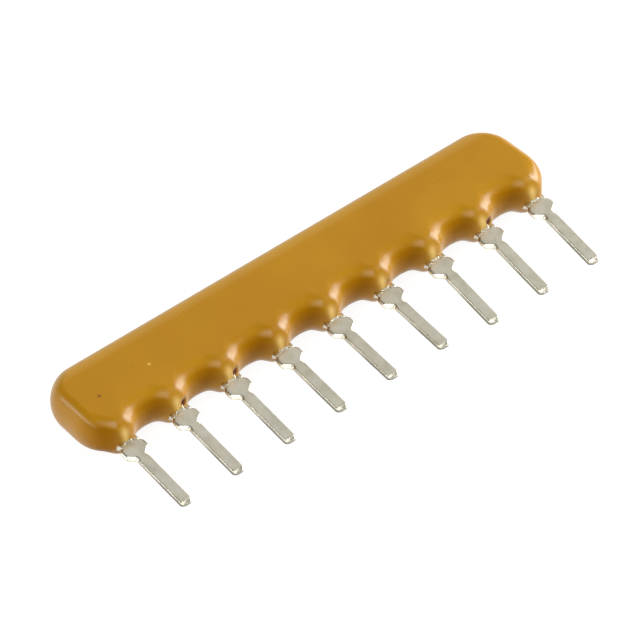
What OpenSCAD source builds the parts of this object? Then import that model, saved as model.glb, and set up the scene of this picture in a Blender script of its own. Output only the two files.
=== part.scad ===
// Single-in-line resistor network: clip leads on a printed ceramic plate, dipped in epoxy.
// It lies on its back. X runs along the lead row, Y from the pin tips to the top of the body, Z is up.
// Heights along Y are counted from the seating line, where the shoulders rest on a board.

/* [Lead row] */
// Number of leads
lead_count = 9; // [8:1:14]
// Distance from one lead to the next
pitch = 2.54; // [2.4:0.02:2.7]

/* [Lead] */
// Thickness of the lead sheet
lead_t = 0.25; // [0.2:0.01:0.3]
// Width of the straight pin
pin_w = 0.51; // [0.4:0.01:0.6]
// Length of a pin below the seating line
pin_len = 2.94; // [2:0.02:4.5]
// Radius of the round corners at the tip of a pin
tip_r = 0.19; // [0.1:0.01:0.2]
// Length of the bevel that thins the tip
coin_len = 0.22; // [0.1:0.02:0.4]
// Thickness that is left at the very tip
coin_t = 0.12; // [0.08:0.01:0.18]
// Width across the shoulder
shoulder_w = 1.16; // [1:0.01:1.3]
// Height of the shoulder's lower corners above the seating line
shoulder_y = 0.26; // [0.2:0.01:0.35]
// Height of the shoulder's upper corners above the seating line
shoulder_top = 0.66; // [0.55:0.01:0.75]
// Radius in the corners of the shoulder
shoulder_r = 0.17; // [0.05:0.01:0.2]
// Width of the neck above the shoulder
neck_w = 0.9; // [0.85:0.01:0.95]
// Height of the neck, where the prongs bend away, above the seating line
neck_y = 0.95; // [0.9:0.01:1]
// Upward bend of each pin in degrees, from the first lead to the last
pin_bends = [0, 0, 0, 1, 3, 3, -4, -4, -4]; // [-8:0.5:8]

/* [Clip] */
// Width of the middle prong, which grips the front of the plate
middle_prong_w = 0.36; // [0.3:0.01:0.42]
// Slit between the middle prong and each outer prong
prong_slit = 0.03; // [0.02:0.01:0.06]
// Inset of the outer prongs from the sides of the neck
prong_inset = 0.02; // [0.01:0.01:0.04]
// Length of the prongs along the plate
prong_len = 1.1; // [0.8:0.02:1.3]
// Length of the flared end of a prong
flare_len = 0.2; // [0.1:0.01:0.3]
// Outward lift of the flared end
flare = 0.06; // [0.02:0.01:0.1]
// Inside radius of the bends of a prong
bend_r = 0.06; // [0.02:0.01:0.1]
// Clearance between the bend of a prong and the lower edge of the plate
clip_gap = 0.03; // [0.01:0.01:0.08]
// Film of solder or epoxy between a prong and the face that it grips
clip_film = 0.01; // [0.006:0.001:0.015]

/* [Plate] */
// Thickness of the ceramic plate
plate_t = 0.8; // [0.6:0.02:1]
// Height of the ceramic plate
plate_h = 2.54; // [2.4:0.02:3.2]
// Length of plate beyond the centre of each end lead
plate_end = 0.5; // [0.48:0.01:0.6]

/* [Printed films] */
// Thickness of one printed film
film_t = 0.02; // [0.015:0.001:0.028]
// Width of a lead pad
pad_w = 0.9; // [0.85:0.01:0.92]
// Height of the common bus
bus_h = 0.4; // [0.3:0.01:0.5]
// Distance from the bus to the top edge of the plate
bus_edge = 0.12; // [0.05:0.01:0.2]
// Width of a resistor
resistor_w = 0.8; // [0.6:0.01:0.85]
// Overlap of a resistor on its pad and on the bus
resistor_lap = 0.15; // [0.05:0.01:0.2]
// Width of the laser trim cut in a resistor
trim_w = 0.06; // [0.04:0.01:0.1]
// Length of the laser trim cut in a resistor
trim_len = 0.4; // [0.2:0.01:0.5]
// Thickness of the glaze, from the plate up
glaze_t = 0.07; // [0.06:0.01:0.1]
// Glaze beyond the films that it covers
glaze_edge = 0.03; // [0.01:0.01:0.04]

/* [Solder] */
// Width of a solder fillet on its pad
solder_w = 0.7; // [0.5:0.01:0.8]
// Height of the solder up the sides of the prong
solder_t = 0.18; // [0.1:0.01:0.19]
// Height of the solder at the edge of the fillet
solder_foot = 0.03; // [0.02:0.01:0.06]
// Solder at the top of the fillet, on each side of the prong
solder_rim = 0.04; // [0.02:0.01:0.06]
// Solder beyond the end of the prong
solder_end = 0.08; // [0.04:0.01:0.12]
// Bare strip of pad between the solder and the glaze
solder_gap = 0.05; // [0.02:0.01:0.1]

/* [Coating] */
// Coating over the front and the back of the plate
cover_face = 0.65; // [0.6:0.01:0.9]
// Coating beyond the ends of the plate
cover_end = 0.76; // [0.7:0.01:0.9]
// Coating beyond the top edge of the plate, where it runs together as it dries
cover_top = 0.81; // [0.75:0.01:1]
// Coating beyond the lower edge of the plate, between the leads
cover_low = 0.3; // [0.28:0.01:0.5]
// Gap from the seating line to the coating, between the leads
stand_off = 1.43; // [1.36:0.01:1.6]
// How far the coating runs down each lead
tongue = 0.49; // [0.45:0.01:0.55]
// Half width of the coating that runs down a lead
tongue_half_w = 0.54; // [0.52:0.01:0.65]
// Half width of the ridge over a middle prong, at the lead
ridge_foot_half_w = 0.3; // [0.26:0.01:0.4]
// Half width of the ridge over a middle prong, at the flat face
ridge_half_w = 0.6; // [0.5:0.01:0.7]
// Half width of the ridge over the outer prongs, on the back
back_ridge_half_w = 0.45; // [0.42:0.01:0.55]
// Height of the rounded brow above the lower edge, between the leads
brow = 1.2; // [1.1:0.02:1.4]
// Height of the brow above the lower edge, at a lead
ridge_brow = 0.34; // [0.25:0.01:0.45]
// Fullness of the front brow between the leads, where 2 is an ellipse
brow_full = 3.2; // [2.4:0.1:4]
// Fullness of the front brow at a lead, where 2 is an ellipse
ridge_full = 2.2; // [2:0.1:3]
// Width of the rounding from the flat face to the ends
round_end = 0.59; // [0.4:0.01:0.75]
// Height of the rounding from the flat face to the top edge
round_top = 0.57; // [0.4:0.01:0.75]
// Radius of the flat face in its upper corners
face_corner_top = 0.85; // [0.6:0.01:1]
// Radius of the flat face in its lower corners
face_corner_low = 0.2; // [0.1:0.01:0.4]
// Fullness of the lower corners, where 2 is an ellipse
corner_full = 2.2; // [2:0.1:2.6]
// Lean of the first end towards the first lead's side, per length of height
left_lean = 0.05; // [0:0.01:0.1]
// Lean of the last end towards the first lead's side, per length of height
right_lean = 0.14; // [0:0.01:0.16]

/* [Hidden] */
// Steps of the coating's surface: along one pitch, round one corner, and from its edge to its face
pitch_steps = 14;
corner_steps = 6;
rise_steps = 7;
// Steps of one rounded corner of a lead
arc_steps = 5;

row_half = (lead_count - 1) * pitch / 2;
plate_half = row_half + plate_end;
plate_low = stand_off + cover_low;
plate_top = plate_low + plate_h;
plate_face = plate_t / 2;

glaze_reach = glaze_edge + resistor_lap;
pad_h = prong_len + solder_end + solder_gap + glaze_reach;
pad_top = plate_low + pad_h;
bus_top = plate_top - bus_edge;
bus_low = bus_top - bus_h;
glaze_low = pad_top - glaze_reach;

slit_y = neck_y - lead_t / 2;
prong_top = plate_low + prong_len;
bend_y = plate_low - clip_gap - lead_t / 2;
front_z = plate_face + film_t + clip_film + lead_t / 2;
back_z = -plate_face - clip_film - lead_t / 2;

coat_half = plate_half + cover_end;
coat_top = plate_top + cover_top;
coat_face = plate_face + cover_face;
middle_y = (coat_top - pin_len) / 2;

ochre = [0.74, 0.54, 0.15];
tin = [0.74, 0.72, 0.66];
ceramic = [0.93, 0.92, 0.88];
silver_film = [0.78, 0.77, 0.74];
resistor_black = [0.16, 0.15, 0.15];
green_glaze = [0.25, 0.42, 0.33];
solder_grey = [0.66, 0.67, 0.68];

function lead_x(i) = (i - 1) * pitch - row_half;
function pin_bend(i) = i <= len(pin_bends) ? pin_bends[i - 1] : 0;

function unit(v) = v / norm(v);
function turned(v, a) = [v.x * cos(a) - v.y * sin(a), v.x * sin(a) + v.y * cos(a)];
function side_normal(a, b) = turned(unit(b - a), 90);
function reverse(list) = [for (k = [len(list) - 1:-1:0]) list[k]];
function mirrored(points) = [for (p = reverse(points)) [-p.x, p.y]];

// Arc of radius r in the corner p between its neighbours a and b, or the sharp corner if r is 0
function corner_arc(a, p, b, r) =
    let (u = unit(a - p), v = unit(b - p), half = acos(u * v) / 2)
    r == 0 || half > 89.9 ? [p] :
    let (centre = p + unit(u + v) * r / sin(half), start = p + u * r / tan(half) - centre)
    let (sweep = (180 - 2 * half) * sign(cross(p - a, b - p)))
    [for (k = [0:arc_steps]) centre + turned(start, sweep * k / arc_steps)];

// Closed outline whose corners have the given radii
function rounded(points, radii) =
    let (n = len(points))
    [for (k = [0:n - 1]) each corner_arc(points[(k + n - 1) % n], points[k], points[(k + 1) % n], radii[k])];

// Corner k of a path, moved sideways by off with a mitre
function mitre(path, k, off) =
    let (before = side_normal(path[max(k - 1, 0)], path[max(k, 1)]))
    let (last = len(path) - 1, after = side_normal(path[min(k, last - 1)], path[min(k + 1, last)]))
    let (middle = unit(before + after))
    path[k] + middle * off / (middle * before);

// Outline of a sheet along a path, with rounded bends
function sheet(path) =
    let (last = len(path) - 1)
    let (turns = [for (k = [1:last - 1]) cross(path[k] - path[k - 1], path[k + 1] - path[k])])
    let (inner = [0, for (t = turns) t > 0 ? bend_r : bend_r + lead_t, 0])
    let (outer = [0, for (t = turns) t > 0 ? bend_r + lead_t : bend_r, 0])
    rounded(
        concat([for (k = [last:-1:0]) mitre(path, k, lead_t / 2)], [for (k = [0:last]) mitre(path, k, -lead_t / 2)]),
        concat(reverse(inner), outer)
    );

// Side path of a prong, from the neck to its flared end, on the face at height z
function prong_path(z) = [
    [neck_y - lead_t, 0],
    [neck_y, 0],
    [bend_y, z],
    [prong_top - flare_len, z],
    [prong_top, z + sign(z) * flare]
];

// Half of the outline of the flat blade, from the tip up to the neck
blade_half = [
    [pin_w / 2, -pin_len],
    [pin_w / 2, 0],
    [shoulder_w / 2, shoulder_y],
    [shoulder_w / 2, shoulder_top],
    [neck_w / 2, slit_y]
];
blade_radii = [tip_r, shoulder_r, shoulder_r, shoulder_r, 0];
blade_outline = rounded(concat(blade_half, mirrored(blade_half)), concat(blade_radii, reverse(blade_radii)));

// Side outline of the blade: the pin bends at the seating line and is coined thin at its tip
function blade_side(bend) =
    let (along = [-cos(bend), sin(bend)], across = [sin(bend), cos(bend)])
    let (half = lead_t / 2, fold = half * tan(bend / 2), coin = pin_len - coin_len)
    [
        [slit_y, half],
        [fold, half],
        along * coin + across * half,
        along * pin_len + across * coin_t / 2,
        along * pin_len - across * coin_t / 2,
        along * coin - across * half,
        [-fold, -half],
        [slit_y, -half]
    ];

// Extrudes a side outline, drawn as Y and Z, along X from x to x + w
module side_prism(outline, x, w) {
    translate([x, 0, 0]) rotate([90, 0, 90]) linear_extrude(w) polygon(outline);
}

module plate_film(x, y, w, h, low, high) {
    translate([x - w / 2, y, plate_face + low]) cube([w, h, high - low]);
}

module blade(bend) {
    intersection() {
        translate([0, 0, -pin_len]) linear_extrude(2 * pin_len) polygon(blade_outline);
        side_prism(blade_side(bend), -shoulder_w, 2 * shoulder_w);
    }
}

// One stamped lead: pin, shoulder and neck, one prong on the front and two on the back
module clip_lead(i) {
    outer_x = middle_prong_w / 2 + prong_slit;
    outer_w = neck_w / 2 - prong_inset - outer_x;
    translate([lead_x(i), 0, 0]) {
        blade(pin_bend(i));
        side_prism(sheet(prong_path(front_z)), -middle_prong_w / 2, middle_prong_w);
        for (x = [-outer_x - outer_w, outer_x]) side_prism(sheet(prong_path(back_z)), x, outer_w);
    }
}

// Bead of solder round a middle prong, as it would be without the prong
module solder_bead(i) {
    crown_w = middle_prong_w + 2 * solder_rim;
    bead_len = prong_len + solder_end;
    translate([lead_x(i), plate_low, plate_face + film_t]) hull() {
        translate([-solder_w / 2, 0, 0]) cube([solder_w, bead_len, solder_foot]);
        translate([-crown_w / 2, 0, 0]) cube([crown_w, bead_len - solder_end / 2, solder_t]);
    }
}

module pad_film(i) {
    plate_film(lead_x(i), plate_low, pad_w, pad_h, 0, film_t);
}

module bus_film() {
    plate_film(0, bus_low, 2 * row_half + pad_w, bus_h, 0, film_t);
    plate_film(lead_x(1), plate_low, pad_w, bus_top - plate_low, 0, film_t);
}

// The resistor lies on the plate between pad and bus, and laps over both
module resistor_film(i) {
    x = lead_x(i + 1);
    gap = bus_low - pad_top;
    difference() {
        union() {
            plate_film(x, pad_top, resistor_w, gap, 0, film_t);
            plate_film(x, pad_top - resistor_lap, resistor_w, gap + 2 * resistor_lap, film_t, 2 * film_t);
        }
        translate([x - resistor_w, pad_top + gap / 2, 0])
            cube([resistor_w / 2 + trim_len, trim_w, plate_t]);
    }
}

module glaze_block() {
    plate_film(0, glaze_low, 2 * (row_half + glaze_edge) + pad_w, bus_top + glaze_edge - glaze_low, 0, glaze_t);
}

module substrate_block() {
    translate([-plate_half, plate_low, -plate_face]) cube([2 * plate_half, plate_h, plate_t]);
}

// 1 at a lead and falling to 0 between leads, with the given half width
function lead_bump(x, half_w) =
    let (nearest = min(max(round((x + row_half) / pitch), 0), lead_count - 1))
    1 / (1 + pow((x - lead_x(nearest + 1)) / half_w, 4));

// Distance to a unit superellipse along a direction
function full_reach(dir, fullness) = pow(pow(abs(dir.x), fullness) + pow(abs(dir.y), fullness), -1 / fullness);

// Stations round the coating: [outer edge point, flat face point, share of the lead side in it]
function corner_stations(sx, sy, face_r, outer, from, lead_side) =
    let (centre = [sx * (coat_half - face_r - outer.x), sy])
    [for (k = [0:corner_steps])
        let (a = from + 90 * k / corner_steps, dir = [cos(a), sin(a)])
        let (reach = lead_side ? full_reach(dir, corner_full) : 1)
        [
            centre + reach * [dir.x * (face_r + outer.x), dir.y * (face_r + outer.y)],
            centre + dir * face_r,
            lead_side ? pow(dir.y, 2) : 0
        ]];

low_centre_x = coat_half - face_corner_low - round_end;
low_centre_y = stand_off + brow + face_corner_low;
top_centre_y = coat_top - round_top - face_corner_top;
side_steps = ceil(2 * low_centre_x / pitch * pitch_steps);

stations = concat(
    corner_stations(1, top_centre_y, face_corner_top, [round_end, round_top], 0, false),
    corner_stations(-1, top_centre_y, face_corner_top, [round_end, round_top], 90, false),
    corner_stations(-1, low_centre_y, face_corner_low, [round_end, brow], 180, true),
    [for (k = [1:side_steps - 1])
        let (x = low_centre_x * (2 * k / side_steps - 1))
        [[x, stand_off], [x, stand_off + brow], 1]],
    corner_stations(1, low_centre_y, face_corner_low, [round_end, brow], 270, true)
);

// Share of the way from the edge to the flat face at which the ridge over a lead is level
ridge_level = (ridge_brow + tongue) / (brow + tongue);

// Sideways shift of the coating's leaning ends, which grows from the last lead but one to the last
function lean_shift(p) =
    let (zone = min(max((abs(p.x) - row_half) / pitch + 1, 0), 1))
    zone * (p.y - stand_off) * (p.x > 0 ? right_lean : left_lean);

// Point of the coating's surface at a station: rise 0 is the edge, rise 1 the flat face
function coat_point(station, rise, side) =
    let (low = station[2], x = station[0].x)
    let (edge = station[0] - [0, low * tongue * lead_bump(x, tongue_half_w)])
    let (front_half_w = ridge_foot_half_w + (ridge_half_w - ridge_foot_half_w) * rise)
    let (ridge = low * lead_bump(x, side > 0 ? front_half_w : back_ridge_half_w))
    let (reach = min(1, rise / (1 - ridge * (1 - ridge_level))))
    let (front_full = 2 + low * (brow_full - 2) + ridge * (ridge_full - brow_full))
    let (full = side > 0 ? front_full : 2)
    let (p = edge + (station[1] - edge) * rise)
    [p.x - lean_shift(p), p.y, side * coat_face * pow(1 - pow(1 - reach, full), 1 / full)];

function ring(rise, side) = [for (s = stations) coat_point(s, rise, side)];
function rise_at(k) = 1 - cos(90 * k / rise_steps);

// Two triangles between neighbouring stations of two rings
function band(lower, upper, n) = [
    for (k = [0:n - 1])
        let (j = (k + 1) % n)
        each [[lower + k, upper + k, upper + j], [lower + k, upper + j, lower + j]]
];

// Solid coating, without the hollow for what it covers
module coating_block() {
    n = len(stations);
    points = concat(
        ring(0, 1),
        [for (k = [1:rise_steps]) each ring(rise_at(k), 1)],
        [for (k = [1:rise_steps]) each ring(rise_at(k), -1)]
    );
    front = [for (k = [0:rise_steps - 1]) each band(k * n, (k + 1) * n, n)];
    back_start = [0, for (k = [rise_steps + 1:2 * rise_steps]) k * n];
    back = [for (k = [0:rise_steps - 1]) each band(back_start[k], back_start[k + 1], n)];
    front_cap = [for (k = [0:n - 1]) rise_steps * n + k];
    back_cap = [for (k = [0:n - 1]) 2 * rise_steps * n + k];
    polyhedron(points, concat(front, [reverse(front_cap)], [for (f = back) reverse(f)], [back_cap]), convexity = 10);
}

// Moves the model from the seating line to the middle of its footprint, resting on its back
module rest() {
    translate([0, -middle_y, coat_face]) children();
}

module coating() {
    color(ochre) rest() difference() {
        coating_block();
        substrate_block();
        glaze_block();
        for (i = [1:lead_count]) {
            clip_lead(i);
            pad_film(i);
            solder_bead(i);
        }
    }
}

module substrate() {
    color(ceramic) rest() substrate_block();
}

module common_bus() {
    color(silver_film) rest() bus_film();
}

module pad(i) {
    color(silver_film) rest() pad_film(i);
}

module resistor(i) {
    color(resistor_black) rest() resistor_film(i);
}

module glaze() {
    color(green_glaze) rest() difference() {
        glaze_block();
        bus_film();
        for (i = [2:lead_count]) {
            pad_film(i);
            resistor_film(i - 1);
        }
    }
}

module lead(i) {
    color(tin) rest() clip_lead(i);
}

module solder(i) {
    color(solder_grey) rest() difference() {
        solder_bead(i);
        clip_lead(i);
    }
}

coating();
substrate();
common_bus();
glaze();
for (i = [2:lead_count]) pad(i);
for (i = [1:lead_count - 1]) resistor(i);
for (i = [1:lead_count]) lead(i);
for (i = [1:lead_count]) solder(i);
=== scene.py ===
"""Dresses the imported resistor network: epoxy coating, tinned leads, and the studio round it."""

import math

import bmesh
import bpy
import numpy as np
from mathutils import Matrix, Vector


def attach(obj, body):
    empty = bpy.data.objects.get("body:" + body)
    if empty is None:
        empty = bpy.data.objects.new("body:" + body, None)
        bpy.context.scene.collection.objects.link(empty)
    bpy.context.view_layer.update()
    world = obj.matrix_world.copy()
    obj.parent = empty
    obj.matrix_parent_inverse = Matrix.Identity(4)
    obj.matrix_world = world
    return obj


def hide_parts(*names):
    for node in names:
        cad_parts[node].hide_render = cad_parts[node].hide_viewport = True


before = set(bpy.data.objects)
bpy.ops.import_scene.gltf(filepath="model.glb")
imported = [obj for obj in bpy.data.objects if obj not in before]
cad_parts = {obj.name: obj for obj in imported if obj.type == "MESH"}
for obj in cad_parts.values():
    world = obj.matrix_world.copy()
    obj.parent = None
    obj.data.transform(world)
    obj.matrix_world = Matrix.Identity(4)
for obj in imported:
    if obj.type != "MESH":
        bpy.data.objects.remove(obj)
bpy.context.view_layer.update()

# Lengths are in millimetres, with Y counted from the seating line and Z from the middle of the leads.
MM = 0.001
LEADS = 9
PITCH = 2.54
ROW_HALF = (LEADS - 1) * PITCH / 2

# Blade of a lead: pin, shoulder and neck
LEAD_T = 0.25
PIN_W, PIN_LEN = 0.51, 2.94
TIP_R, COIN_LEN, COIN_T = 0.19, 0.22, 0.12
SHOULDER_W, SHOULDER_Y, SHOULDER_TOP, SHOULDER_R = 1.16, 0.26, 0.66, 0.17
NECK_W, NECK_Y = 0.9, 0.95
SLIT_Y = NECK_Y - LEAD_T / 2

# Bend of each pin at the seating line, in degrees towards the front
PIN_BENDS = [0, 0, 0, 1, 3, 3, -4, -4, -4]

# Prongs of the clip, and the plate that they grip
PRONG_W, PRONG_SLIT, PRONG_INSET = 0.36, 0.03, 0.02
PRONG_LEN, FLARE_LEN, FLARE = 1.1, 0.2, 0.06
BEND_R, CLIP_GAP, CLIP_FILM = 0.06, 0.03, 0.01
PLATE_LOW, PLATE_FACE, FILM_T = 1.73, 0.4, 0.02

# Coating: the power 2 makes an ellipse of a rounding, and a higher power a fuller one
COAT_HALF, COAT_TOP, COAT_FACE = 11.42, 5.08, 1.05
STAND_OFF = 1.43
TONGUE, TONGUE_HALF = 0.49, 0.54
RIDGE_FOOT, RIDGE_HALF, BACK_RIDGE_HALF = 0.3, 0.6, 0.45
RIDGE_POWER = 4
ELLIPSE = 2
BROW, BROW_FULL = 1.2, 3.2
RIDGE_BROW, RIDGE_FULL = 0.34, 2.2
ROUND_END, ROUND_TOP = 0.59, 0.57
CORNER_TOP, CORNER_LOW, CORNER_FULL = 0.85, 0.2, 2.2
LEFT_LEAN, RIGHT_LEAN = 0.05, 0.14

# Where the part lies: on its back, with the middle of its footprint at the origin
MIDDLE_Y = (COAT_TOP - PIN_LEN) / 2
REST = np.array([0.0, -MIDDLE_Y, COAT_FACE])

# Fineness of the meshes
PITCH_STEPS = 60
CORNER_STEPS = 20
RISE_STEPS = 30
SIDE_STEP = 0.25
BLADE_STEP = 0.06
ARC_STEPS = 8
EDGE_STEPS = 5
PRONG_EDGE_STEPS = 3

# Prongs and coating lie this far inside the solids
PRONG_SKIN, COAT_SKIN = 0.003, 0.002

# Rounded edges of the leads: the radius grows from pin to shoulder between two heights,
# and the outermost line on a face lies a number of radii in
PIN_EDGE, SHOULDER_EDGE, PRONG_EDGE = 0.05, 0.12, 0.05
EDGE_GROWS_Y = [-0.2, 0.1]
FACE_INSET = 1.3

# Coined slopes under the shoulders: heights, and the share of the slope at each height
COINED_IN, COINED_DROP = 0.125, 0.13
COINED_HEIGHT = [-0.12, 0.03, SHOULDER_Y - 0.03, SHOULDER_Y + 0.12], [0, 1, 1, 0]

# Painted shade on the walls of the pins, dark as the shaded floor that they reflect: heights and shares, and
# shares from the wall up to the face
WALL_SHADE_HEIGHT = [-1.6, -0.8, -0.1, 0.05], [1, 0.45, 0.45, 0]
WALL_SHADE_FADE = [0.7, 0.35, 0.1]

# Pits in the coating, right of a ridge: lead and depth, place from that lead, and the way they sink in
PIT_DEEP = 0.1
PITS = [(2, PIT_DEEP), (3, PIT_DEEP), (6, 0.04), (8, PIT_DEEP)]
PIT_AT = np.array([0.29, 1.0, 0.34])
PIT_R, PIT_POWER = 0.19, 4
PIT_PUSH = np.array([-0.3, 0.85, -0.3])

# Painted shade, darker and duller in the valleys between the leads, and glossier ridges and ends
SHADE_SHIFT, SHADE_HALF = 0.34, 0.62
SHADE_HEIGHT = [-0.3, 0.4, 0.75, 0.99], [0.3, 1, 1, 0]
CORNER_HEIGHT = [0.75, 0.99], [1.1, 0]
GLOSS_HALF, GLOSS_FADE = 0.45, 0.05
END_GLOSS, END_ZONE, END_FADE = 0.35, 0.7, 0.4

# Painted highlight, a pale streak at the foot of each ridge: heights and share at each height
FOOT_X, FOOT_HALF = -0.06, 0.16
FOOT_HEIGHT = [0, 0.12, 0.6, 0.85], [0, 0.8, 0.8, 0]

# Painted highlight, a paler band along the top edge: depths below the top where it starts and where it is
# full
SHEEN_START, SHEEN_FULL = 0.91, 0.46

# Two specks on the face, by X and Y of the part, and the share of a speck that is evenly colored
PALE_SPECK, DARK_SPECK = (-7.61, 1.86), (-10.12, 1.75)
SPECK_R, SPECK_CORE = 0.09, 0.4

# Studio in metres and watts: each lamp has a place, a size and a power
LAMPS = {
    "right_box": ((0.288, -0.08, 0.155), (0.16, 0.3), 1.32),
    "left_strip": ((-0.345, 0.06, 0.1), (0.38, 0.08), 0.62),
    "front_box": ((-0.185, -0.22, 0.37), (0.24, 0.28), 0.74),
    "low_box": ((0.33, 0.02, 0.055), (0.12, 0.1), 0.26),
    "back_strip": ((0.16, 0.36, 0.075), (0.6, 0.13), 0.32),
    "back_box": ((0.18, 0.23, 0.34), (0.3, 0.3), 0.155),
}
SKY = 0.15
FLOOR_HALF = 2.0
FLOOR_PALE, FLOOR_FAINT, FLOOR_GLOW = 0.8, 0.2, 0.9

# Camera: place in metres, directions to its right and its back, lens in millimetres
CAMERA_AT = (-0.11223, -0.14363, 0.21592)
CAMERA_RIGHT = (0.7896, -0.6136, 0.0)
CAMERA_BACK = (-0.3969, -0.5107, 0.7627)
LENS, SENSOR = 401.9, 36
CLIP_START = 0.01


def lead_x(i):
    return (i - 1) * PITCH - ROW_HALF


def to_rest(points):
    """Points of the seating frame in millimetres, as points of the part in metres."""
    return (np.asarray(points, float) + REST) * MM


def piece(name, points, faces, material, replaced):
    """A smooth mesh that stands for a node of the part."""
    mesh = bpy.data.meshes.new(name)
    mesh.from_pydata([tuple(p) for p in to_rest(points)], [], faces)
    mesh.validate()
    shell = bmesh.new()
    shell.from_mesh(mesh)
    bmesh.ops.recalc_face_normals(shell, faces=shell.faces)
    shell.to_mesh(mesh)
    shell.free()
    mesh.polygons.foreach_set("use_smooth", [True] * len(mesh.polygons))
    mesh.materials.append(material)
    made = bpy.data.objects.new(name, mesh)
    bpy.context.scene.collection.objects.link(made)
    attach(made, "root")
    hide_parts(replaced)
    return made


def set_share(made, name, values):
    """Stores a value for each point of a piece, for its material."""
    made.data.attributes.new(name, "FLOAT", "POINT").data.foreach_set("value", values)


def strips(index):
    """Faces between closed rings of point numbers."""
    after = np.roll(index, -1, 1)
    return np.stack([index[:-1], after[:-1], after[1:], index[1:]], -1).reshape(-1, 4).tolist()


class Nodes:
    """A node material, with short calls for the nodes that it uses."""

    def __init__(self, name):
        self.material = bpy.data.materials.new(name)
        self.material.use_nodes = True
        self.tree = self.material.node_tree
        self.shader = self.tree.nodes["Principled BSDF"]

    def add(self, kind, **settings):
        made = self.tree.nodes.new(kind)
        for key, value in settings.items():
            setattr(made, key, value)
        return made

    def link(self, source, target):
        self.tree.links.new(source, target)

    def place(self, stretch=(1, 1, 1)):
        """Position on the object in millimetres, stretched per axis."""
        coord = self.add("ShaderNodeTexCoord")
        mapping = self.add("ShaderNodeMapping")
        mapping.inputs["Scale"].default_value = [s / MM for s in stretch]
        self.link(coord.outputs["Object"], mapping.inputs["Vector"])
        return mapping.outputs["Vector"]

    def share(self, name):
        """A value that a piece stores for each of its points."""
        return self.add("ShaderNodeAttribute", attribute_name=name).outputs["Fac"]

    def noise(self, size, detail, rough=0.5, stretch=(1, 1, 1)):
        made = self.add("ShaderNodeTexNoise")
        made.inputs["Scale"].default_value = 1 / size
        made.inputs["Detail"].default_value = detail
        made.inputs["Roughness"].default_value = rough
        self.link(self.place(stretch), made.inputs["Vector"])
        return made.outputs["Fac"]

    def ramp(self, fac, stops):
        made = self.add("ShaderNodeValToRGB")
        elements = made.color_ramp.elements
        while len(elements) < len(stops):
            elements.new(0.5)
        for element, (at, color) in zip(elements, stops):
            element.position = at
            element.color = (*color, 1)
        self.link(fac, made.inputs["Fac"])
        return made.outputs["Color"]

    def spread(self, fac, low, high, from_low=0.3, from_high=0.7):
        """A value between low and high, for a value between two others."""
        made = self.add("ShaderNodeMapRange")
        made.inputs["From Min"].default_value = from_low
        made.inputs["From Max"].default_value = from_high
        made.inputs["To Min"].default_value = low
        made.inputs["To Max"].default_value = high
        self.link(fac, made.inputs["Value"])
        return made.outputs["Result"]

    def mix(self, fac, first, second):
        """Mixes a color of the material towards a plain color."""
        made = self.add("ShaderNodeMix", data_type="RGBA")
        self.link(fac, made.inputs["Factor"])
        self.link(first, made.inputs["A"])
        made.inputs["B"].default_value = (*second, 1)
        return made.outputs["Result"]

    def bump(self, heights, depth, under=None):
        made = self.add("ShaderNodeBump")
        made.inputs["Strength"].default_value = 1
        made.inputs["Distance"].default_value = depth * MM
        self.link(heights, made.inputs["Height"])
        if under:
            self.link(under, made.inputs["Normal"])
        return made.outputs["Normal"]

    def finish(self, color, roughness, normal, **sockets):
        self.link(color, self.shader.inputs["Base Color"])
        self.link(roughness, self.shader.inputs["Roughness"])
        self.link(normal, self.shader.inputs["Normal"])
        for key, value in sockets.items():
            self.shader.inputs[key].default_value = value
        return self.material


def linear(red, green, blue):
    """A color of the screen, 0 to 255, as linear light."""
    return tuple(
        (c / 255 / 12.92) if c <= 10 else ((c / 255 + 0.055) / 1.055) ** 2.4 for c in (red, green, blue)
    )


def speck(n, place):
    """1 at a point of the front face and 0 beyond the radius of a speck."""
    distance = n.add("ShaderNodeVectorMath", operation="DISTANCE")
    n.link(n.place(), distance.inputs[0])
    distance.inputs[1].default_value = (*place, 2 * COAT_FACE)
    return n.spread(distance.outputs["Value"], 1, 0, from_low=SPECK_R * SPECK_CORE, from_high=SPECK_R)


def top_sheen(n):
    """Painted highlight that rises towards the top edge of the coating."""
    axes = n.add("ShaderNodeSeparateXYZ")
    n.link(n.place(), axes.inputs["Vector"])
    top = COAT_TOP - MIDDLE_Y
    return n.spread(axes.outputs["Y"], 0, 0.45, from_low=top - SHEEN_START, from_high=top - SHEEN_FULL)


def epoxy():
    n = Nodes("ochre_epoxy")
    color = n.ramp(n.noise(size=3.2, detail=2), [
        (0.3, linear(174, 120, 3)),
        (0.5, linear(179, 125, 4)),
        (0.72, linear(183, 130, 7)),
    ])
    grain = n.noise(size=0.16, detail=4, rough=0.6)
    color = n.mix(n.spread(grain, 0, 0.22, from_low=0.55, from_high=0.8), color, linear(163, 110, 6))
    color = n.mix(speck(n, PALE_SPECK), color, linear(226, 176, 84))
    color = n.mix(speck(n, DARK_SPECK), color, linear(122, 76, 14))
    # Painted highlight: a paler band along the top edge
    color = n.mix(top_sheen(n), color, linear(204, 166, 92))
    # Painted shade: darker colour in the valleys between the leads, at the low corners and in the pits
    shade = n.share("shade")
    color = n.mix(shade, color, linear(152, 98, 4))
    # Painted highlight: a pale streak at the foot of each ridge
    color = n.mix(n.share("foot"), color, linear(238, 200, 116))
    # Painted shade: dark brown in the pits
    color = n.mix(n.share("pit"), color, linear(84, 42, 4))
    gloss = n.spread(shade, 0.61, 0.03, from_low=-1, from_high=1)
    n.link(gloss, n.shader.inputs["Specular IOR Level"])
    roughness = n.spread(n.noise(size=0.9, detail=3), 0.27, 0.34)
    waves = n.bump(n.noise(size=2.4, detail=1), depth=0.05)
    normal = n.bump(n.noise(size=0.25, detail=2), depth=0.004, under=waves)
    return n.finish(color, roughness, normal, IOR=1.5)


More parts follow.
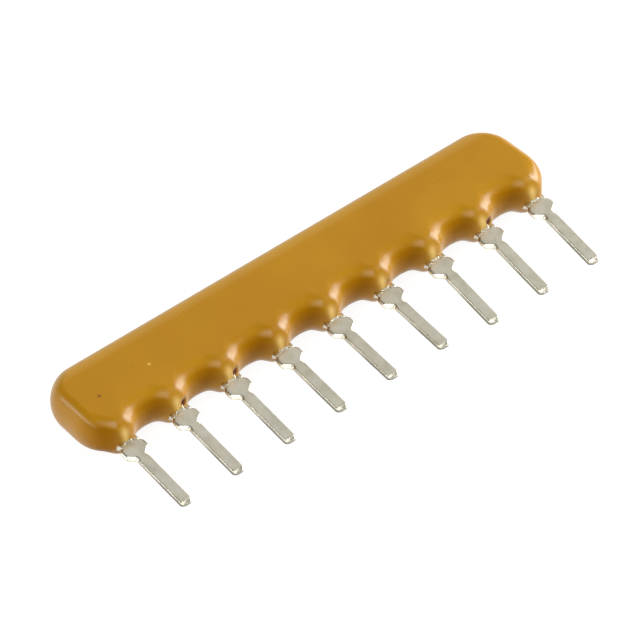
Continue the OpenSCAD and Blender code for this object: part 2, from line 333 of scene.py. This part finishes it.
def tin():
    n = Nodes("dull_tin")
    color = n.ramp(n.noise(size=0.5, detail=3), [
        (0.3, linear(216, 211, 190)),
        (0.5, linear(229, 224, 204)),
        (0.7, linear(237, 233, 217)),
    ])
    streaks = n.noise(size=0.06, detail=3, rough=0.6, stretch=(1, 0.08, 1))
    color = n.mix(n.spread(streaks, 0, 0.25, from_low=0.5, from_high=0.8), color, linear(194, 186, 168))
    # Painted shade: dark lower walls of the pins
    color = n.mix(n.share("wall_shade"), color, linear(104, 98, 84))
    roughness = n.spread(n.noise(size=0.12, detail=4, rough=0.6), 0.3, 0.42)
    return n.finish(color, roughness, n.bump(streaks, depth=0.003), Metallic=1)


def ceramic():
    n = Nodes("alumina")
    color = n.ramp(n.noise(size=0.3, detail=4), [
        (0.3, linear(230, 228, 218)),
        (0.7, linear(244, 242, 235)),
    ])
    roughness = n.spread(n.noise(size=0.05, detail=4), 0.55, 0.75)
    normal = n.bump(n.noise(size=0.04, detail=3), depth=0.003)
    return n.finish(color, roughness, normal)


def printed_conductor():
    n = Nodes("printed_conductor")
    color = n.ramp(n.noise(size=0.12, detail=4), [
        (0.3, linear(184, 180, 168)),
        (0.7, linear(208, 205, 196)),
    ])
    roughness = n.spread(n.noise(size=0.05, detail=4), 0.4, 0.6)
    normal = n.bump(n.noise(size=0.05, detail=3), depth=0.002)
    return n.finish(color, roughness, normal, Metallic=1)


def printed_resistor():
    n = Nodes("printed_resistor")
    color = n.ramp(n.noise(size=0.1, detail=4), [
        (0.3, linear(34, 32, 32)),
        (0.7, linear(54, 50, 49)),
    ])
    roughness = n.spread(n.noise(size=0.04, detail=4), 0.5, 0.7)
    normal = n.bump(n.noise(size=0.05, detail=3), depth=0.002)
    return n.finish(color, roughness, normal)


def glass_glaze():
    n = Nodes("glass_glaze")
    color = n.ramp(n.noise(size=0.4, detail=3), [
        (0.3, linear(58, 106, 84)),
        (0.7, linear(76, 126, 100)),
    ])
    roughness = n.spread(n.noise(size=0.2, detail=3), 0.15, 0.3)
    normal = n.bump(n.noise(size=0.3, detail=2), depth=0.004)
    return n.finish(color, roughness, normal)


def solder():
    n = Nodes("solder")
    color = n.ramp(n.noise(size=0.1, detail=3), [
        (0.3, linear(168, 170, 174)),
        (0.7, linear(196, 198, 201)),
    ])
    roughness = n.spread(n.noise(size=0.06, detail=4), 0.25, 0.4)
    normal = n.bump(n.noise(size=0.08, detail=3), depth=0.004)
    return n.finish(color, roughness, normal, Metallic=1)


def from_lead(x):
    """Distance along the row from the middle of the nearest lead."""
    return x - np.clip(np.round((x + ROW_HALF) / PITCH), 0, LEADS - 1) * PITCH + ROW_HALF


def lead_bump(x, half_w):
    """1 at a lead and falling to 0 between leads."""
    return 1 / (1 + (from_lead(x) / half_w) ** RIDGE_POWER)


def corner(side, centre_y, radius, outer, start, on_leads):
    """Edge point, face point and share of the lead side at each step round a corner of the coating."""
    centre = np.array([side * (COAT_HALF - COAT_SKIN - radius - outer[0]), centre_y])
    made = []
    for k in range(CORNER_STEPS + 1):
        angle = math.radians(start + 90 * k / CORNER_STEPS)
        turn = np.array([math.cos(angle), math.sin(angle)])
        share = turn[1] ** 2 if on_leads else 0
        reach = np.sum(np.abs(turn) ** CORNER_FULL) ** (-1 / CORNER_FULL) if on_leads else 1
        made.append((centre + turn * reach * (np.array(outer) + radius), centre + turn * radius, share))
    return made


def straight_run(first, last, on_leads, step):
    """The same between two corners, from the station of one to the station of the other."""
    (e0, f0, _), (e1, f1, _) = first, last
    count = max(int(math.ceil(np.linalg.norm(np.subtract(f1, f0)) / step)), 1)
    shares = [k / count for k in range(1, count)]
    return [(e0 + (e1 - e0) * share, f0 + (f1 - f0) * share, on_leads) for share in shares]


def stations():
    """Outer edge and flat face points round the coating, and how far each belongs to the lead side."""
    top_y = COAT_TOP - ROUND_TOP - CORNER_TOP
    low_y = STAND_OFF + BROW + CORNER_LOW
    top_right = corner(1, top_y, CORNER_TOP, (ROUND_END, ROUND_TOP), 0, False)
    top_left = corner(-1, top_y, CORNER_TOP, (ROUND_END, ROUND_TOP), 90, False)
    low_left = corner(-1, low_y, CORNER_LOW, (ROUND_END, BROW), 180, True)
    low_right = corner(1, low_y, CORNER_LOW, (ROUND_END, BROW), 270, True)
    made = top_right + straight_run(top_right[-1], top_left[0], 0, SIDE_STEP)
    made += top_left + straight_run(top_left[-1], low_left[0], 0, SIDE_STEP)
    made += low_left + straight_run(low_left[-1], low_right[0], 1, PITCH / PITCH_STEPS)
    made += low_right + straight_run(low_right[-1], top_right[0], 0, SIDE_STEP)
    edge, face, low = zip(*made)
    return np.array(edge), np.array(face), np.array(low, float)


def coating_side(side, edge, face, low):
    """Rings of points from the edge to the flat face, on the front (1) or the back (-1)."""
    full = (RIDGE_BROW + TONGUE) / (BROW + TONGUE)
    x = edge[:, 0]
    foot = edge - np.stack([0 * x, low * TONGUE * lead_bump(x, TONGUE_HALF)], 1)
    rise = (1 - np.cos(np.linspace(0, math.pi / 2, RISE_STEPS + 1)))[:, None]
    half_w = RIDGE_FOOT + (RIDGE_HALF - RIDGE_FOOT) * rise if side > 0 else BACK_RIDGE_HALF
    ridge = low * lead_bump(x, half_w)
    reach = np.minimum(1, rise / (1 - ridge * (1 - full)))
    power = ELLIPSE
    if side > 0:
        power = ELLIPSE + low * (BROW_FULL - ELLIPSE) + ridge * (RIDGE_FULL - BROW_FULL)
    flat = foot + (face - foot) * rise[..., None]
    height = side * COAT_FACE * (1 - (1 - reach) ** power) ** (1 / power)
    zone = np.clip((np.abs(flat[..., 0]) - ROW_HALF) / PITCH + 1, 0, 1)
    lean = np.where(flat[..., 0] > 0, RIGHT_LEAN, LEFT_LEAN)
    flat[..., 0] -= lean * zone * (flat[..., 1] - STAND_OFF)
    return np.concatenate([flat, height[..., None]], 2)


def pit_share(points):
    """How far each point lies in a pit, and how deep it sinks there."""
    share, depth = np.zeros(len(points)), np.zeros(len(points))
    for lead, deep in PITS:
        away = np.linalg.norm(points - PIT_AT - (lead_x(lead), 0, 0), axis=1) / PIT_R
        near = np.exp(-away ** PIT_POWER)
        share = np.maximum(share, near * min(1, deep / PIT_DEEP))
        depth += deep * near
    return share, depth


def coating_shade(edge, low, height, pits):
    """From -1 on the glossy ridges to 1 in the dull valleys and pits, which get painted shade."""
    x = edge[:, 0]
    valley = np.sqrt(low) * (1 - lead_bump(x - SHADE_SHIFT, SHADE_HALF))
    between = np.abs(x) < ROW_HALF
    shade = valley * np.where(between, np.interp(height, *SHADE_HEIGHT), np.interp(height, *CORNER_HEIGHT))
    below_face = np.clip((COAT_FACE - np.abs(height)) / GLOSS_FADE, 0, 1)
    on_end = np.clip((np.abs(x) - COAT_HALF + END_ZONE) / END_FADE, 0, 1)
    glossy = np.maximum(low * lead_bump(x, GLOSS_HALF), END_GLOSS * on_end)
    shade -= glossy * (1 - shade) * below_face
    return np.maximum(shade.ravel(), 2 * pits - 1)


def foot_highlight(points, low, pits):
    """Share of painted highlight, a pale streak at the foot of a ridge, outside the pits."""
    beside = np.exp(-((from_lead(points[:, 0]) - FOOT_X) / FOOT_HALF) ** 2)
    return low * beside * np.interp(points[:, 2], *FOOT_HEIGHT) * (1 - pits)


def make_coating():
    edge, face, low = stations()
    front = coating_side(1, edge, face, low)
    back = coating_side(-1, edge, face, low)
    rings = np.concatenate([back[:0:-1], front])
    points = rings.reshape(-1, 3)
    index = np.arange(len(points)).reshape(rings.shape[:2])
    faces = strips(index) + [index[-1].tolist(), index[0][::-1].tolist()]
    pits, depth = pit_share(points)
    points = points + depth[:, None] * PIT_PUSH
    made = piece("coating_skin", points, faces, epoxy(), "coating")
    set_share(made, "pit", pits)
    set_share(made, "shade", coating_shade(edge, low, rings[..., 2], pits))
    set_share(made, "foot", foot_highlight(points, np.tile(low, len(rings)), pits))


def rounded(points, radii):
    """Closed outline whose corners have the given radii."""
    made = []
    count = len(points)
    nearly_straight = math.radians(89.9)
    for k, (point, radius) in enumerate(zip(points, radii)):
        before, after = Vector(points[k - 1]), Vector(points[(k + 1) % count])
        point = Vector(point)
        u, v = (before - point).normalized(), (after - point).normalized()
        half = math.acos(max(-1, min(1, u.dot(v)))) / 2
        if radius == 0 or half > nearly_straight:
            made.append(point)
            continue
        centre = point + (u + v).normalized() * radius / math.sin(half)
        start = point + u * radius / math.tan(half) - centre
        into, out = point - before, after - point
        sweep = (math.pi - 2 * half) * (1 if into.x * out.y - into.y * out.x > 0 else -1)
        for j in range(ARC_STEPS + 1):
            made.append(centre + Matrix.Rotation(sweep * j / ARC_STEPS, 2) @ start)
    return made


def bend_radii(turn):
    """Radii of a sheet on its upper and its lower side, where it turns up (above 0) or down."""
    if turn == 0:
        return 0, 0
    return (BEND_R, BEND_R + LEAD_T) if turn > 0 else (BEND_R + LEAD_T, BEND_R)


def sheet_outline(path):
    """Side outline of a sheet of the lead's thickness along a path, with rounded bends."""
    last = len(path) - 1
    half_t = LEAD_T / 2 - PRONG_SKIN
    steps = [(path[k + 1] - path[k]).normalized() for k in range(last)]
    across = [Vector((-s.y, s.x)) for s in steps]
    upper, lower, upper_r, lower_r = [], [], [], []
    for k in range(last + 1):
        before, after = across[max(k - 1, 0)], across[min(k, last - 1)]
        middle = (before + after).normalized()
        off = middle * (half_t / middle.dot(before))
        upper.append(path[k] + off)
        lower.append(path[k] - off)
        turn = 0
        if 0 < k < last:
            turn = steps[k - 1].x * steps[k].y - steps[k - 1].y * steps[k].x
        above, below = bend_radii(turn)
        upper_r.append(above)
        lower_r.append(below)
    return rounded(upper[::-1] + lower, upper_r[::-1] + lower_r)


def prong(height, x, width):
    """Points and faces of one prong that lies at a height on the plate, and its share of painted wall shade,
    which is 0.
    """
    bend_y = PLATE_LOW - CLIP_GAP - LEAD_T / 2
    top = PLATE_LOW + PRONG_LEN
    path = [
        (NECK_Y - LEAD_T, 0),
        (NECK_Y, 0),
        (bend_y, height),
        (top - FLARE_LEN, height),
        (top, height + math.copysign(FLARE, height)),
    ]
    outline = sheet_outline([Vector(p) for p in path])
    count = len(outline)
    shell = bmesh.new()
    sides = [[shell.verts.new((at, p.x, p.y)) for p in outline] for at in (x, x + width)]
    for k in range(count):
        after = (k + 1) % count
        shell.faces.new([sides[0][k], sides[0][after], sides[1][after], sides[1][k]])
    caps = [shell.faces.new(sides[0][::-1]), shell.faces.new(sides[1])]
    rims = [edge for cap in caps for edge in cap.edges]
    bmesh.ops.bevel(
        shell, geom=rims, offset=PRONG_EDGE, segments=PRONG_EDGE_STEPS, profile=0.5, affect="EDGES"
    )
    shell.verts.index_update()
    points = [tuple(v.co) for v in shell.verts]
    faces = [[v.index for v in face.verts] for face in shell.faces]
    shell.free()
    return points, faces, np.zeros(len(points))


def blade_half():
    """Right half of the blade's outline from the tip up to the neck, finely divided."""
    half = [
        (PIN_W / 2, -PIN_LEN),
        (PIN_W / 2, 0),
        (SHOULDER_W / 2, SHOULDER_Y),
        (SHOULDER_W / 2, SHOULDER_TOP),
        (NECK_W / 2, SLIT_Y),
    ]
    radii = [TIP_R, SHOULDER_R, SHOULDER_R, SHOULDER_R, 0]
    mirrored = [(-x, y) for x, y in half[::-1]]
    outline = rounded(half + mirrored, radii + radii[::-1])
    right = [p for p in outline if p.x > 0]
    fine = []
    for first, second in zip(right, right[1:]):
        parts = max(int((second - first).length / BLADE_STEP), 1)
        fine += [first.lerp(second, k / parts) for k in range(parts)]
    return np.array([tuple(p) for p in fine + [right[-1]]])


def blade_sections(half):
    """Sections across the straight blade, one at each point of its half outline, with rounded edges."""
    y = half[:, 1]
    along = np.gradient(half, axis=0)
    along /= np.linalg.norm(along, axis=1)[:, None]
    inward = np.stack([-along[:, 1], along[:, 0]], 1)
    inward[0] = (0, 1)
    inward[-1] = (-1, 0)
    coin = np.clip((y + PIN_LEN) / COIN_LEN, 0, 1)
    thick = (COIN_T + (LEAD_T - COIN_T) * coin) / 2
    in_tip = np.clip((TIP_R - PIN_LEN - y) / TIP_R, 0, 1)
    blend = np.interp(y, EDGE_GROWS_Y, [0, 1]) + in_tip
    edge_r = (PIN_EDGE + (SHOULDER_EDGE - PIN_EDGE) * blend) * (thick / (LEAD_T / 2))
    coined = np.interp(y, *COINED_HEIGHT)
    turns = np.linspace(0, math.pi / 2, EDGE_STEPS + 1)
    steps = [(1 - math.cos(t), 1 - math.sin(t)) for t in turns] + [(FACE_INSET, 0)]
    rows = []
    for sign, (inset, drop) in [(-1, s) for s in steps[::-1]] + [(1, s) for s in steps]:
        slope = coined * (sign > 0)
        inset_mm = inset * edge_r * (1 - slope) + inset * COINED_IN * slope
        drop_mm = drop * edge_r * (1 - slope) + max(1 - inset, 0) * COINED_DROP * slope
        flat = half + inward * inset_mm[:, None]
        rows.append(np.concatenate([flat, (sign * (thick - drop_mm))[:, None]], 1))
    right = np.stack(rows, 1)
    left = right[:, ::-1] * np.array([-1, 1, 1])
    return np.concatenate([right, left], 1)


def bent(sections, bend):
    """The sections with all that lies below the seating line turned towards the front, in degrees."""
    cos, sin = math.cos(math.radians(bend)), math.sin(math.radians(bend))
    x, y, z = np.moveaxis(sections, -1, 0)
    below = y < 0
    return np.stack([x, np.where(below, y * cos + z * sin, y), np.where(below, z * cos - y * sin, z)], -1)


def blade(bend):
    """Points and faces of the pin, shoulder and neck, and how much painted shade each point has on the
    walls.
    """
    half = blade_half()
    sections = bent(blade_sections(half), bend)
    count, wide = sections.shape[:2]
    index = np.arange(count * wide).reshape(count, wide)
    faces = strips(index)
    for k in range(wide // 2 - 1):
        faces.append([int(index[0, j]) for j in (k, k + 1, wide - 2 - k, wide - 1 - k)])
    faces.append(list(range(count * wide, (count + 1) * wide)))
    wall = [0, 0] + [1] * EDGE_STEPS + WALL_SHADE_FADE
    wall += [0] * (wide // 2 - len(wall))
    along_pin = np.append(np.interp(half[:, 1], *WALL_SHADE_HEIGHT), 0)
    wall_shade = np.outer(along_pin, wall + wall[::-1]).ravel()
    return np.concatenate([sections, sections[-1:]]).reshape(-1, 3), faces, wall_shade


def make_lead(i, material):
    outer_x = PRONG_W / 2 + PRONG_SLIT
    outer_w = NECK_W / 2 - PRONG_INSET - outer_x
    front = PLATE_FACE + FILM_T + CLIP_FILM + LEAD_T / 2
    back = -PLATE_FACE - CLIP_FILM - LEAD_T / 2
    shells = [
        blade(PIN_BENDS[i - 1]),
        prong(front, -PRONG_W / 2, PRONG_W),
        prong(back, -outer_x - outer_w, outer_w),
        prong(back, outer_x, outer_w),
    ]
    points, faces, wall_shade = [], [], []
    for shell_points, shell_faces, shell_wall_shade in shells:
        start = len(points)
        points += [(p[0] + lead_x(i), p[1], p[2]) for p in shell_points]
        faces += [[start + k for k in face] for face in shell_faces]
        wall_shade += list(shell_wall_shade)
    made = piece(f"tinned_lead_{i}", points, faces, material, f"lead_{i}")
    set_share(made, "wall_shade", wall_shade)


def dress_inside():
    """Gives the sealed nodes their materials."""
    kinds = {
        "substrate": ceramic(),
        "common_bus": printed_conductor(),
        "glaze": glass_glaze(),
        "resistor": printed_resistor(),
        "solder": solder(),
    }
    kinds["pad"] = kinds["common_bus"]
    for name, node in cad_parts.items():
        kind = name if name in kinds else name.rsplit("_", 1)[0]
        if kind in kinds:
            node.data.materials.clear()
            node.data.materials.append(kinds[kind])


def pale_floor():
    """White to the camera and in reflections, with the shadow of the part, and pale to other light."""
    n = Nodes("pale_floor")
    n.tree.nodes.clear()
    path = n.add("ShaderNodeLightPath")
    seen = n.add("ShaderNodeMath", operation="MAXIMUM")
    n.link(path.outputs["Is Camera Ray"], seen.inputs[0])
    n.link(path.outputs["Is Glossy Ray"], seen.inputs[1])
    shown = n.add("ShaderNodeMath", operation="MAXIMUM")
    n.link(seen.outputs[0], shown.inputs[0])
    n.link(path.outputs["Is Transmission Ray"], shown.inputs[1])
    pale = n.add("ShaderNodeBsdfDiffuse")
    pale.inputs["Color"].default_value = (FLOOR_PALE, FLOOR_PALE, FLOOR_PALE, 1)
    faint = n.add("ShaderNodeBsdfDiffuse")
    faint.inputs["Color"].default_value = (FLOOR_FAINT, FLOOR_FAINT, FLOOR_FAINT, 1)
    glow = n.add("ShaderNodeEmission")
    glow.inputs["Strength"].default_value = FLOOR_GLOW
    white = n.add("ShaderNodeAddShader")
    n.link(faint.outputs[0], white.inputs[0])
    n.link(glow.outputs[0], white.inputs[1])
    mix = n.add("ShaderNodeMixShader")
    n.link(shown.outputs[0], mix.inputs["Fac"])
    n.link(pale.outputs[0], mix.inputs[1])
    n.link(white.outputs[0], mix.inputs[2])
    output = n.add("ShaderNodeOutputMaterial")
    n.link(mix.outputs[0], output.inputs["Surface"])
    return n.material


def make_floor():
    signs = [(-1, -1), (1, -1), (1, 1), (-1, 1)]
    mesh = bpy.data.meshes.new("floor")
    mesh.from_pydata([(x * FLOOR_HALF, y * FLOOR_HALF, 0) for x, y in signs], [], [(0, 1, 2, 3)])
    mesh.materials.append(pale_floor())
    floor = bpy.data.objects.new("floor", mesh)
    bpy.context.scene.collection.objects.link(floor)


def area_light(name, place, size, power):
    """A soft box that faces the middle of the part."""
    lamp = bpy.data.lights.new(name, "AREA")
    lamp.shape = "RECTANGLE"
    lamp.size, lamp.size_y = size
    lamp.energy = power
    made = bpy.data.objects.new(name, lamp)
    made.location = place
    made.rotation_euler = (-Vector(place)).to_track_quat("-Z", "Y").to_euler()
    bpy.context.scene.collection.objects.link(made)


def make_light():
    for name, (place, size, power) in LAMPS.items():
        area_light(name, place, size, power)
    world = bpy.data.worlds.new("studio")
    world.use_nodes = True
    world.node_tree.nodes["Background"].inputs["Color"].default_value = (1, 1, 1, 1)
    world.node_tree.nodes["Background"].inputs["Strength"].default_value = SKY
    bpy.context.scene.world = world


def make_camera():
    lens = bpy.data.cameras.new("camera")
    lens.sensor_width = SENSOR
    lens.lens = LENS
    lens.clip_start = CLIP_START
    camera = bpy.data.objects.new("camera", lens)
    right = Vector(CAMERA_RIGHT).normalized()
    back = Vector(CAMERA_BACK).normalized()
    turn = Matrix((right, back.cross(right), back)).transposed().to_4x4()
    camera.matrix_world = Matrix.Translation(CAMERA_AT) @ turn
    bpy.context.scene.collection.objects.link(camera)
    bpy.context.scene.camera = camera


bpy.context.scene.view_settings.view_transform = "Standard"
make_camera()
make_light()
make_floor()
make_coating()
lead_tin = tin()
for lead in range(1, LEADS + 1):
    make_lead(lead, lead_tin)
dress_inside()
